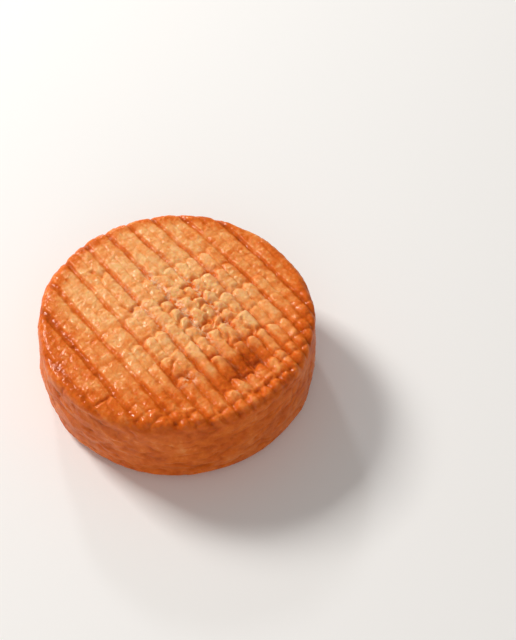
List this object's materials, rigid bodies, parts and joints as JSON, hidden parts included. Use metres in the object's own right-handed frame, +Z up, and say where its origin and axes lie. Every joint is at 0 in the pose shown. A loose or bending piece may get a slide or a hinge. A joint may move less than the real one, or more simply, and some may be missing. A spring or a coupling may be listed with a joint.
{
  "type": "epoisses cheese",
  "caption": "Whole round washed-rind soft cheese, low and flat, its top marked by the parallel grooves and knobs of a draining rack.",
  "frame": {"origin": "middle of the cheese's footprint, on the surface that it rests on", "axes": "+Z up through the cheese, from its underside to its marked top; +Y along the grooves of the top; the finely knobbed area lies on the +X side of the middle"},
  "size_m": [0.1066, 0.1066, 0.035],
  "materials": {
    "rind": "moist, washed orange rind, softly glossy, with whitish bloom in its creases"
  },
  "bodies": {
    "root": {"cheese": "rind"}
  },
  "joints": []
}
